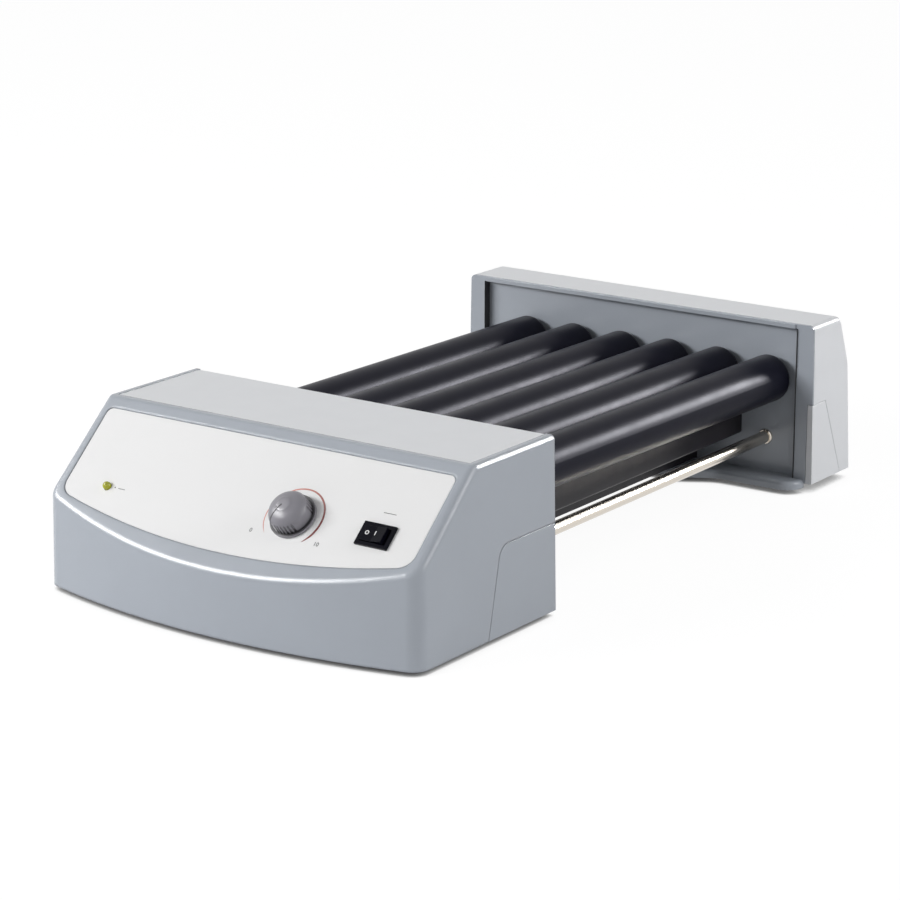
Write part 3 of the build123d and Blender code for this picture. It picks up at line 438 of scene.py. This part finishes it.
POINTER_ANGLE = 238.0
POINTER_HALF = 0.32 * MM
POINTER_LIFT = 0.04 * MM
POINTER_TOP = 86.0
POINTER_FOOT = 2.0
POINTER_AIM = 4 * MM
POINTER_REACH = 40 * MM


def pointer_line(steps=40):
    """Thin strip that follows the knob from the crown to the flange."""
    tree = BVHTree.FromObject(nodes["knob"], bpy.context.evaluated_depsgraph_get())
    turn = math.radians(POINTER_ANGLE)
    outward = Vector((math.cos(turn), math.sin(turn), 0))
    sideways = Vector((-outward.y, outward.x, 0))
    centre = Vector((knob_spot.x, knob_spot.y, POINTER_AIM))
    spin = panel.to_3x3()
    mesh = bmesh.new()
    rows = []
    for k in range(steps + 1):
        rise = math.radians(POINTER_TOP - (POINTER_TOP - POINTER_FOOT) * k / steps)
        away = outward * math.cos(rise) + Vector((0, 0, math.sin(rise)))
        row = []
        for side in (-1, 1):
            start = panel @ (centre + sideways * side * POINTER_HALF + away * POINTER_REACH)
            hit = tree.ray_cast(start, -(spin @ away))[0]
            row.append(mesh.verts.new(hit + (spin @ away) * POINTER_LIFT))
        rows.append(row)
    for first, second in zip(rows, rows[1:]):
        mesh.faces.new((first[0], first[1], second[1], second[0]))
    skin = bmesh.ops.extrude_face_region(mesh, geom=mesh.faces[:])
    for item in skin["geom"]:
        if isinstance(item, bmesh.types.BMVert):
            item.co += (item.co - panel @ centre).normalized() * PRINT_THICK
    bmesh.ops.recalc_face_normals(mesh, faces=mesh.faces[:])
    return mesh


new_piece("knob_pointer", pointer_line(), "speed_knob", dark_ink)


# dark strips along the sides of the rear recess, which paint the shade on its side walls

SHADE_STRIP_THICK = 0.35 * MM
SHADE_STRIP_GAP = 0.03 * MM
SHADE_STRIP_EDGE = 0.1 * MM
PROBE_START = 50 * MM
WALL_DROP = 12 * MM
FACE_DROP = 2 * MM
PROBE_INSET = 2 * MM
FOOT_INSET = 3 * MM


def recess_shade_strips():
    """One dark strip on each side of the recess, from the wall to the frame's face, as painted shade on the side
    walls.
    """
    tree = BVHTree.FromObject(nodes["rear_bezel"], bpy.context.evaluated_depsgraph_get())
    low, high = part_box("rear_bezel")
    ahead = low[1] - PROBE_START
    probe = high[2] - WALL_DROP
    back = tree.ray_cast(Vector((0, ahead, probe)), Vector((0, 1, 0)))[0].y
    front = tree.ray_cast(Vector((0, ahead, high[2] - FACE_DROP)), Vector((0, 1, 0)))[0].y
    start = Vector((0, back - PROBE_INSET, probe))
    side = tree.ray_cast(start, Vector((1, 0, 0)))[0].x - SHADE_STRIP_GAP
    top = tree.ray_cast(start, Vector((0, 0, 1)))[0].z - SHADE_STRIP_GAP
    foot = tree.ray_cast(Vector((side - FOOT_INSET, start.y, probe)), Vector((0, 0, -1)))[0].z + SHADE_STRIP_GAP
    mesh = bmesh.new()
    for sign in (-1, 1):
        strip = bmesh.ops.create_cube(mesh, size=1.0)["verts"]
        bmesh.ops.scale(mesh, verts=strip, vec=(SHADE_STRIP_THICK, back - front - 2 * SHADE_STRIP_GAP, top - foot))
        bmesh.ops.translate(mesh, verts=strip,
                            vec=(sign * (side - SHADE_STRIP_THICK / 2), (front + back) / 2, (foot + top) / 2))
    bmesh.ops.bevel(mesh, geom=mesh.edges[:], offset=SHADE_STRIP_EDGE, segments=2, profile=0.5, affect="EDGES")
    return mesh


# the strips wear the dark rubber finish to paint the shade of the recess side walls
new_piece("recess_shade_strips", recess_shade_strips(), "housing", finishes["foot_rubber"], smooth=False)


# stage

FLOOR_HALF = 12.0
FLOOR_PAPER = (0.86, 0.86, 0.87)
FLOOR_GLOW = 1.07
GLOW_SHARE = 0.88
# painted contact shadow: how far the floor looks for the object, and the occlusion range its glow fades over
PAINTED_SHADOW_REACH = 15 * MM
PAINTED_SHADOW_RANGE = (0.08, 0.55)
WORLD_LEVEL = 0.29
LAMP_DISTANCE = 3.0


def floor_material():
    """White floor, nearly even to the camera and in reflections, with a painted contact shadow where its glow dims
    near the object; its paper share keeps the object's cast shadow.
    """
    made = bpy.data.materials.new("floor")
    made.use_nodes = True
    tree = made.node_tree
    tree.nodes.clear()
    out = put(tree, "ShaderNodeOutputMaterial")
    paper = put(tree, "ShaderNodeBsdfDiffuse", {"Color": (*FLOOR_PAPER, 1.0)})
    glow = put(tree, "ShaderNodeEmission", {"Color": (1.0, 1.0, 1.0, 1.0)})
    # painted shadow: the glow is dimmed where the object hems the floor in
    shadow_probe = put(tree, "ShaderNodeAmbientOcclusion", {"Distance": PAINTED_SHADOW_REACH}, samples=8)
    unshadowed_share = shadow_probe.outputs["AO"]
    tree.links.new(remap(tree, unshadowed_share, 0.0, FLOOR_GLOW, *PAINTED_SHADOW_RANGE), glow.inputs["Strength"])
    rays = put(tree, "ShaderNodeLightPath")
    seen = put(tree, "ShaderNodeMath", operation="MAXIMUM")
    share = put(tree, "ShaderNodeMath", operation="MULTIPLY")
    share.inputs[1].default_value = GLOW_SHARE
    mix = put(tree, "ShaderNodeMixShader")
    tree.links.new(rays.outputs["Is Camera Ray"], seen.inputs[0])
    tree.links.new(rays.outputs["Is Glossy Ray"], seen.inputs[1])
    tree.links.new(seen.outputs["Value"], share.inputs[0])
    tree.links.new(share.outputs["Value"], mix.inputs["Fac"])
    tree.links.new(paper.outputs["BSDF"], mix.inputs[1])
    tree.links.new(glow.outputs["Emission"], mix.inputs[2])
    tree.links.new(mix.outputs["Shader"], out.inputs["Surface"])
    return made


def make_floor():
    """Plain floor sheet under the feet."""
    mesh = bmesh.new()
    turns = ((-1, -1), (1, -1), (1, 1), (-1, 1))
    mesh.faces.new([mesh.verts.new((x * FLOOR_HALF, y * FLOOR_HALF, 0)) for x, y in turns])
    data = bpy.data.meshes.new("floor")
    mesh.to_mesh(data)
    mesh.free()
    floor = bpy.data.objects.new("floor", data)
    bpy.context.scene.collection.objects.link(floor)
    data.materials.append(floor_material())


def make_world(level):
    """Even pale surroundings, which the camera and mirrors see as white."""
    world = bpy.data.worlds.new("studio")
    bpy.context.scene.world = world
    world.use_nodes = True
    tree = world.node_tree
    back = tree.nodes["Background"]
    back.inputs["Color"].default_value = (1.0, 1.0, 1.0, 1.0)
    rays = put(tree, "ShaderNodeLightPath")
    seen = put(tree, "ShaderNodeMath", operation="MAXIMUM")
    more = put(tree, "ShaderNodeMath", operation="MAXIMUM")
    strength = put(tree, "ShaderNodeMapRange", {"To Min": level, "To Max": 1.0})
    tree.links.new(rays.outputs["Is Camera Ray"], seen.inputs[0])
    tree.links.new(rays.outputs["Is Glossy Ray"], seen.inputs[1])
    tree.links.new(seen.outputs["Value"], more.inputs[0])
    tree.links.new(rays.outputs["Is Transmission Ray"], more.inputs[1])
    tree.links.new(more.outputs["Value"], strength.inputs["Value"])
    tree.links.new(strength.outputs["Result"], back.inputs["Strength"])


def softbox(name, azimuth, elevation, size, power, seen_only=False):
    """Area lamp aimed at the middle of the object, from an azimuth counted like the camera's.

    A lamp that is only seen is a card for reflections, which adds no diffuse light."""
    lamp = bpy.data.lights.new(name, "AREA")
    lamp.shape = "RECTANGLE"
    lamp.size, lamp.size_y = size
    lamp.energy = power
    holder = bpy.data.objects.new(name, lamp)
    bpy.context.scene.collection.objects.link(holder)
    turn, rise = math.radians(azimuth), math.radians(elevation)
    out = Vector((math.sin(turn) * math.cos(rise), -math.cos(turn) * math.cos(rise), math.sin(rise)))
    holder.location = out * LAMP_DISTANCE
    holder.rotation_mode = "QUATERNION"
    holder.rotation_quaternion = out.to_track_quat("Z", "Y")
    holder.visible_diffuse = not seen_only


make_floor()
make_world(WORLD_LEVEL)
softbox("key", azimuth=-40.0, elevation=25.0, size=(2.4, 0.6), power=68.0)
softbox("side", azimuth=105.0, elevation=25.0, size=(1.2, 1.2), power=35.0)
softbox("glint", azimuth=-50.0, elevation=34.0, size=(2.0, 0.8), power=96.0, seen_only=True)
softbox("back", azimuth=147.0, elevation=21.0, size=(0.8, 0.8), power=130.0, seen_only=True)


def make_camera():
    """Camera at the photograph's viewing angle."""
    data = bpy.data.cameras.new("camera")
    data.sensor_width = SENSOR
    data.lens = LENS
    data.clip_start = 0.05
    data.clip_end = 60.0
    camera = bpy.data.objects.new("camera", data)
    bpy.context.scene.collection.objects.link(camera)
    azimuth = math.radians(VIEW_AZIMUTH)
    elevation = math.radians(VIEW_ELEVATION)
    back = Vector((math.sin(azimuth) * math.cos(elevation), -math.cos(azimuth) * math.cos(elevation),
                   math.sin(elevation)))
    camera.location = VIEW_PLACE
    camera.rotation_mode = "QUATERNION"
    camera.rotation_quaternion = (-back).to_track_quat("-Z", "Y")
    bpy.context.scene.camera = camera


make_camera()
bpy.context.scene.view_settings.view_transform = "Standard"
